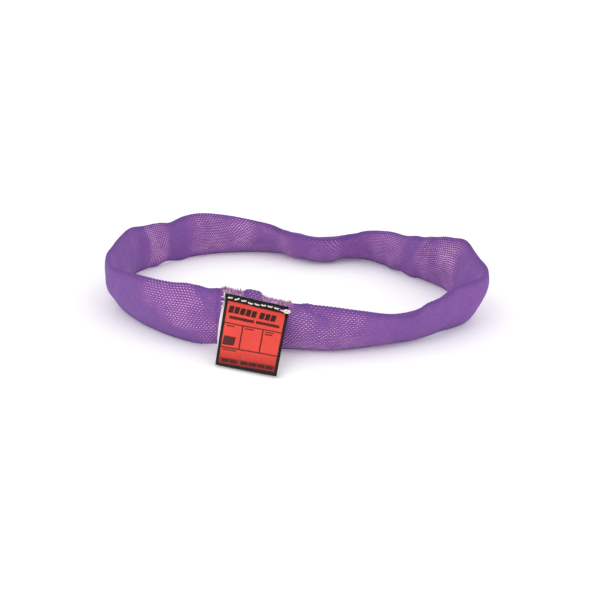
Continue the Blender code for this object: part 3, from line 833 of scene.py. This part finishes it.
class Graph:
    """A material's node tree, built with short calls that return sockets."""

    def __init__(self, name, roughness=0.7, **uniform):
        self.material = bpy.data.materials.new(name)
        self.material.use_nodes = True
        self.nodes = self.material.node_tree.nodes
        self.links = self.material.node_tree.links
        self.shader = self.nodes["Principled BSDF"]
        self.shader.inputs["Roughness"].default_value = roughness
        for socket, value in uniform.items():
            self.shader.inputs[socket.replace("_", " ")].default_value = value

    def add(self, kind, inputs=(), **settings):
        node = self.nodes.new(kind)
        for key, value in settings.items():
            setattr(node, key, value)
        for key, value in dict(inputs).items():
            self.feed(node.inputs[key], value)
        return node

    def feed(self, socket, value):
        if isinstance(value, bpy.types.NodeSocket):
            self.links.new(value, socket)
        else:
            socket.default_value = value

    def math(self, operation, first, second=0.0, third=0.0):
        inputs = {0: first, 1: second, 2: third}
        return self.add("ShaderNodeMath", inputs, operation=operation).outputs[0]

    def times(self, first, second):
        return self.math("MULTIPLY", first, second)

    def band_waves(self, direction, scale, distortion, **inputs):
        """Parallel bands across an axis, like yarns or filaments side by side."""
        inputs = {"Vector": self.place(), "Scale": scale, "Distortion": distortion, **inputs}
        return self.add("ShaderNodeTexWave", inputs, bands_direction=direction).outputs["Fac"]

    def attribute(self, name):
        return self.add("ShaderNodeAttribute", attribute_name=name).outputs["Fac"]

    def uv(self):
        uv = self.add("ShaderNodeUVMap", uv_map="weave").outputs[0]
        split = self.add("ShaderNodeSeparateXYZ", {0: uv})
        return split.outputs[0], split.outputs[1]

    def place(self):
        return self.add("ShaderNodeTexCoord").outputs["Object"]

    def noise(self, scale, detail=3.0, where=None, stretch=None):
        where = where or self.place()
        if stretch:
            where = self.add("ShaderNodeMapping", {"Vector": where, "Scale": stretch}).outputs[0]
        node = self.add("ShaderNodeTexNoise", {"Vector": where, "Scale": scale, "Detail": detail})
        return node.outputs["Fac"]

    def spread(self, value, low, high, new_low=0.0, new_high=1.0, smooth=False):
        kind = "SMOOTHSTEP" if smooth else "LINEAR"
        inputs = {"Value": value, "From Min": low, "From Max": high, "To Min": new_low, "To Max": new_high}
        return self.add("ShaderNodeMapRange", inputs, interpolation_type=kind).outputs[0]

    def mix(self, share, first, second):
        node = self.add("ShaderNodeMix", data_type="RGBA")
        self.feed(node.inputs[0], share)
        self.feed(node.inputs[6], first)
        self.feed(node.inputs[7], second)
        return node.outputs[2]

    def mottle(self, noise, first, second, most=1.0):
        """Two colours in patches that follow a noise, with at most this share of the second."""
        return self.mix(self.spread(noise, 0.3, 0.7, 0.0, most), first, second)

    def bump(self, height, distance, strength=1.0):
        inputs = {"Height": height, "Distance": distance, "Strength": strength}
        self.feed(self.shader.inputs["Normal"], self.add("ShaderNodeBump", inputs).outputs[0])

    def finish(self, colour, roughness=None):
        self.feed(self.shader.inputs["Base Color"], colour)
        if roughness is not None:
            self.feed(self.shader.inputs["Roughness"], roughness)
        return self.material


PURPLE = (0.200, 0.080, 0.335, 1)
PURPLE_LIGHT = (0.235, 0.088, 0.370, 1)
# The darkest purple: dark patches in the frayed yarn, and the painted shade at the yarns' rims and along
# the band's edges.
PURPLE_DARK_AND_SHADE = (0.120, 0.045, 0.230, 1)
PURPLE_PINK = (0.360, 0.098, 0.400, 1)
PURPLE_STRAND = (0.42, 0.24, 0.56, 1)
PALE_PINK = (1.000, 0.720, 1.000, 1)
RAW_PINK = (0.76, 0.42, 0.66, 1)


class Cell:
    """The cell of the weave under a point: its column and row, and where the point lies in it."""

    def __init__(self, g):
        self.u, v = g.uv()
        row = g.math("FLOOR", v)
        odd = g.math("MODULO", row, 2.0)
        shifted = g.math("MULTIPLY_ADD", odd, 0.5, self.u)
        column = g.math("FLOOR", shifted)
        self.x = g.math("SUBTRACT", g.math("FRACT", shifted), 0.5)
        self.y = g.math("SUBTRACT", g.math("FRACT", v), 0.5)
        self.corner = g.add("ShaderNodeCombineXYZ", {0: column, 1: row}).outputs[0]

    def yarn(self, g):
        """The raised yarn that fills the cell, from 0 at its rim to 1 in its middle."""
        round_x = g.math("POWER", g.math("ABSOLUTE", g.times(self.x, 2.0)), 2.4)
        round_y = g.math("POWER", g.math("ABSOLUTE", g.times(self.y, 2.0)), 2.0)
        return g.times(g.math("SUBTRACT", 1.0, round_x), g.math("SUBTRACT", 1.0, round_y))

    def gap(self, g, opened):
        """The gap between two yarns of a row, from 0 to 1, larger where the weave is opened."""
        run = g.times(g.math("SUBTRACT", 0.5, g.math("ABSOLUTE", self.x)), 2.3)
        rise = g.times(self.y, 1.9)
        squares = g.math("ADD", g.math("POWER", run, 2.0), g.math("POWER", rise, 2.0))
        size = g.math("MULTIPLY_ADD", opened, 0.34, 0.13)
        return g.spread(g.math("DIVIDE", g.math("SQRT", squares), size), 1.25, 0.55, smooth=True)

    def brightness(self, g, opened):
        """How bright the gap is: a chance for each cell, and none where the weave is closed."""
        inputs = {"Vector": self.corner}
        chance = g.add("ShaderNodeTexWhiteNoise", inputs, noise_dimensions="2D").outputs["Value"]
        return g.times(g.spread(chance, 0.0, 1.0, 0.45, 1.0), g.spread(opened, 0.08, 0.60))


def yarn_colour(g, broad, opened, yarn, stretch):
    """The purple of the yarns: pinker where they are opened, with painted shade in the hollows at their
    rims and along the band's edges.
    """
    colour = g.mottle(broad, PURPLE, PURPLE_LIGHT, 0.45)
    colour = g.mix(g.times(opened, 0.80), colour, PURPLE_PINK)
    # Painted shade in the hollows at the yarns' rims, stronger where the weave is stretched.
    rim = g.math("SUBTRACT", 1.0, g.spread(yarn, 0.0, 0.9))
    colour = g.mix(g.times(rim, g.math("MULTIPLY_ADD", stretch, 0.65, 0.25)), colour, PURPLE_DARK_AND_SHADE)
    strand = g.noise(900.0, 2.0, stretch=(1.0, 1.0, 0.35))
    colour = g.mix(g.spread(strand, 0.35, 0.7, 0.0, 0.16), colour, PURPLE_STRAND)
    # Painted shade along the band's edges, where the tube rolls away from the light.
    return g.mix(g.times(g.attribute("edge"), 0.60), colour, PURPLE_DARK_AND_SHADE)


def weave_material():
    """Purple weave on the jacket's lattice, with pale gaps where it is stretched."""
    g = Graph("jacket_weave", Sheen_Weight=0.08, Sheen_Roughness=0.45, Specular_IOR_Level=0.15)
    g.shader.inputs["Sheen Tint"].default_value = (0.9, 0.75, 1.0, 1)
    cell = Cell(g)
    yarn = cell.yarn(g)
    stretch = g.attribute("stretch")
    opened = g.times(stretch, g.spread(g.noise(38.0, 3.0), 0.34, 0.62, 0.45, 1.15))
    gap = cell.gap(g, opened)
    pale = g.math("MINIMUM", g.times(gap, cell.brightness(g, opened)), 1.0)
    broad = g.noise(9.0, 4.0)
    colour = g.mix(pale, yarn_colour(g, broad, opened, yarn, stretch), PALE_PINK)
    raw_strand = g.noise(800.0, 3.0, stretch=(1.0, 1.0, 0.3))
    raw = g.times(g.attribute("fray"), g.spread(raw_strand, 0.30, 0.65))
    colour = g.mix(raw, colour, RAW_PINK)

    fibre = g.times(g.math("SINE", g.times(cell.u, 44.0)), 0.06)
    height = g.math("SUBTRACT", g.math("ADD", yarn, fibre), g.times(gap, 0.6))
    g.bump(height, 0.00035, 0.8)
    return g.finish(colour, g.spread(broad, 0.3, 0.7, 0.62, 0.80))


def fray_material():
    g = Graph("frayed_yarn", 0.8, Sheen_Weight=0.3)
    tint = g.attribute("tint")
    colour = g.mix(g.spread(tint, 0.15, 0.50), (0.270, 0.095, 0.34, 1), (0.52, 0.18, 0.42, 1))
    colour = g.mix(g.spread(tint, 0.66, 0.88), colour, (0.95, 0.80, 0.90, 1))
    colour = g.mix(g.spread(g.noise(1500.0), 0.35, 0.65, 0.0, 0.25), colour, PURPLE_DARK_AND_SHADE)
    g.bump(g.noise(2600.0, 2.0), 0.0001, 0.6)
    return g.finish(colour)


RED = (0.740, 0.058, 0.042, 1)
RED_BRIGHT = (0.800, 0.070, 0.050, 1)
RED_DARK = (0.440, 0.022, 0.016, 1)
RED_SCUFFED = (0.95, 0.45, 0.38, 1)
PRINT_BLACK = (0.006, 0.003, 0.003, 1)
PRINT_WORN = (0.07, 0.020, 0.016, 1)


class Print:
    """The tag's printed marks, as masks from 0 to 1 on its UVs: u across and v down."""

    def __init__(self, graph):
        self.g = graph
        self.u, self.v = graph.uv()
        wobble = graph.spread(graph.noise(260.0, 2.0), 0.3, 0.7, -0.0025, 0.0025)
        self.u = graph.math("ADD", self.u, wobble)
        self.v = graph.math("ADD", self.v, wobble)

    def inside(self, value, low, high, soft=0.004):
        rising = self.g.spread(value, low - soft, low + soft, 0.0, 1.0)
        falling = self.g.spread(value, high - soft, high + soft, 1.0, 0.0)
        return self.g.times(rising, falling)

    def box(self, left, right, top, bottom, slant=0.0):
        u = self.g.math("MULTIPLY_ADD", self.v, slant, self.u) if slant else self.u
        return self.g.times(self.inside(u, left, right), self.inside(self.v, top, bottom))

    def row_of_boxes(self, lefts, width, top, bottom, slant=0.0):
        return [self.box(left, left + width, top, bottom, slant) for left in lefts]

    def union(self, masks):
        total = masks[0]
        for mask in masks[1:]:
            total = self.g.math("MAXIMUM", total, mask)
        return total


def printed_marks(p):
    """The label's marks and how dark each is printed, in the order in which they are laid on."""
    across_rule = 0.0080
    down_rule = 0.0105
    border = [
        p.g.math("SUBTRACT", 1.0, p.inside(p.u, 0.047, 0.953)),
        p.g.math("SUBTRACT", 1.0, p.inside(p.v, 0.100, 0.945)),
    ]
    rulings = [p.box(0.0, 1.0, v - across_rule, v + across_rule) for v in (0.405, 0.735)]
    rulings += [p.box(u - down_rule, u + down_rule, 0.405, 0.735) for u in (0.340, 0.665)]
    title_lefts = (0.115, 0.205, 0.295, 0.385, 0.475, 0.60, 0.69, 0.78)
    title = p.row_of_boxes(title_lefts, 0.076, 0.160, 0.262, 0.16)
    bars = [
        p.box(0.105, 0.50, 0.300, 0.342),
        p.box(0.53, 0.90, 0.300, 0.342),
        p.box(0.085, 0.215, 0.430, 0.446),
        p.box(0.375, 0.520, 0.430, 0.446),
        p.box(0.700, 0.830, 0.430, 0.446),
        p.box(0.700, 0.820, 0.462, 0.478),
        p.box(0.130, 0.320, 0.580, 0.700, 0.10),
        p.box(0.075, 0.300, 0.756, 0.770),
    ]
    low_row = [p.box(0.04, 0.96, 0.868, 0.950)]
    low_bars = p.row_of_boxes((0.09, 0.225, 0.40, 0.535, 0.67, 0.805), 0.120, 0.880, 0.925)
    return [
        (bars, 0.90),
        (title, 0.95),
        (low_row, 0.45),
        (low_bars, 0.80),
        (rulings, 0.92),
        (border, 1.0),
    ]


def tag_material():
    """The coated label: red with a black border and ruled cells. Plain bars stand for its words."""
    g = Graph("tag_print", 0.5, Specular_IOR_Level=0.22)
    p = Print(g)
    colour = g.mottle(g.noise(60.0, 3.0), RED, RED_BRIGHT)
    colour = g.mix(g.spread(p.v, 0.66, 0.95, 0.0, 0.9, smooth=True), colour, RED_DARK)
    colour = g.mix(g.spread(p.v, 0.14, 0.07, 0.0, 0.5), colour, RED_DARK)
    colour = g.mix(g.spread(g.noise(420.0, 5.0), 0.62, 0.75, 0.0, 0.12), colour, RED_SCUFFED)
    ink = g.mix(g.spread(g.noise(300.0, 4.0), 0.55, 0.75, 0.0, 0.4), PRINT_BLACK, PRINT_WORN)
    for masks, strength in printed_marks(p):
        colour = g.mix(g.times(p.union(masks), strength), colour, ink)
    cloth = g.times(g.noise(700.0, 2.0), 0.7)
    g.bump(g.math("ADD", cloth, g.noise(90.0, 3.0)), 0.00012, 0.5)
    return g.finish(colour, g.spread(g.noise(150.0, 3.0), 0.3, 0.7, 0.34, 0.52))


def backing_material():
    g = Graph("tag_back", 0.5, Specular_IOR_Level=0.35)
    colour = g.mottle(g.noise(80.0, 4.0), (0.84, 0.83, 0.82, 1), (0.74, 0.73, 0.74, 1))
    g.bump(g.noise(650.0, 3.0), 0.00012, 0.5)
    return g.finish(colour, g.spread(g.noise(200.0), 0.3, 0.7, 0.42, 0.6))


def thread_material():
    g = Graph("thread", 0.7, Sheen_Weight=0.2)
    colour = g.mottle(g.noise(900.0, 3.0), (0.90, 0.88, 0.82, 1), (0.70, 0.66, 0.58, 1))
    g.bump(g.noise(3000.0, 2.0), 0.00008, 0.7)
    return g.finish(colour)


def hidden_weave_material():
    g = Graph("inner_weave", 0.8, Sheen_Weight=0.2)
    knit = g.times(g.band_waves("Z", 95.0, 1.5), g.band_waves("DIAGONAL", 95.0, 1.5))
    colour = g.mix(knit, (0.62, 0.53, 0.62, 1), (0.84, 0.78, 0.84, 1))
    g.bump(knit, 0.0003, 0.8)
    return g.finish(colour)


def core_yarn_material():
    g = Graph("core_yarn_filament", 0.55, Sheen_Weight=0.3)
    strands = g.band_waves("Z", 260.0, 4.0, Detail=2.0)
    colour = g.mix(strands, (0.68, 0.66, 0.60, 1), (0.90, 0.89, 0.85, 1))
    g.bump(strands, 0.0002, 0.8)
    return g.finish(colour)


def core_tape_material():
    g = Graph("core_tape_film", 0.35, Coat_Weight=0.2)
    creped = g.noise(240.0, 3.0, stretch=(1.0, 1.0, 4.0))
    colour = g.mottle(creped, (0.70, 0.63, 0.45, 1), (0.83, 0.77, 0.60, 1))
    g.bump(creped, 0.0002, 0.6)
    return g.finish(colour)


def wear(obj, material):
    """Give a piece its material."""
    obj.data.materials.clear()
    obj.data.materials.append(material)


# ---- the studio


def floor_object():
    bpy.ops.mesh.primitive_plane_add(size=8.0, location=(0, 0, -0.0004))
    floor = bpy.context.object
    floor.name = "studio_floor"
    # The floor glows a little: painted light that lifts the shadows on it to near white.
    g = Graph("studio_floor", 0.9, Specular_IOR_Level=0.1, Emission_Strength=0.10)
    colour = g.mottle(g.noise(3.0, 2.0), (0.96, 0.96, 0.96, 1), (0.98, 0.98, 0.98, 1))
    floor.data.materials.append(g.finish(colour))


def area_light(name, place, aim, size, power):
    data = bpy.data.lights.new(name, "AREA")
    data.shape = "DISK"
    data.size = size
    data.energy = power
    light = bpy.data.objects.new(name, data)
    light.location = place
    light.rotation_euler = (Vector(aim) - Vector(place)).to_track_quat("-Z", "Y").to_euler()
    bpy.context.scene.collection.objects.link(light)


def studio():
    floor_object()
    world = bpy.data.worlds.new("studio")
    world.use_nodes = True
    background = world.node_tree.nodes["Background"]
    background.inputs["Color"].default_value = (1.0, 1.0, 1.0, 1)
    background.inputs["Strength"].default_value = 1.0
    bpy.context.scene.world = world
    area_light("key", (-0.9, -1.2, 1.5), (0, 0, 0), 1.2, 4.0)
    area_light("fill", (1.2, -0.9, 1.1), (0, 0, 0), 1.4, 2.5)
    bpy.context.scene.view_settings.view_transform = "Standard"


def camera():
    data = bpy.data.cameras.new("photo_view")
    data.lens = CAMERA_LENS_MM
    data.sensor_width = SENSOR_MM
    data.clip_start = 0.05
    obj = bpy.data.objects.new("photo_view", data)
    target = -Vector(LOOP_CENTRE)
    obj.location = target + Vector(CAMERA_OFFSET)
    obj.rotation_euler = (target - obj.location).to_track_quat("-Z", "Y").to_euler()
    bpy.context.scene.collection.objects.link(obj)
    bpy.context.scene.camera = obj


# ---- the whole scene


def sling():
    jacket = jacket_object()
    wear(jacket, weave_material())
    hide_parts("outer_jacket")
    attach(jacket, "sling")

    fray = fray_object()
    wear(fray, fray_material())
    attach(fray, "sling")

    thread = thread_material()
    needle = make_mesh("needle_thread", *joined_tubes(stitches(True) + thread_bunch() + side_dots()))
    wear(needle, thread)
    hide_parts("tag_needle_thread")
    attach(needle, "sling")
    bobbin = make_mesh("bobbin_thread", *joined_tubes(stitches(False)))
    wear(bobbin, thread)
    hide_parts("tag_bobbin_thread")
    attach(bobbin, "sling")


def tag():
    face = tag_face_object()
    wear(face, tag_material())
    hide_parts("tag_header", "tag_leaf")
    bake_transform(face)
    backing = tag_backing_object()
    wear(backing, backing_material())
    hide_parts("tag_backing")
    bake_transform(backing)


def hidden_core():
    """The CAD pieces inside the jacket keep their shapes and get their own materials."""
    looks = {
        "inner_jacket": (hidden_weave_material(), "inner_weave"),
        "core_yarn": (core_yarn_material(), "core_yarn"),
        "core_tape": (core_tape_material(), "core_tape"),
    }
    for name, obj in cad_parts.items():
        for start, (material, slot) in looks.items():
            if name.startswith(start):
                wear(obj, material)


sling()
tag()
hidden_core()
studio()
camera()
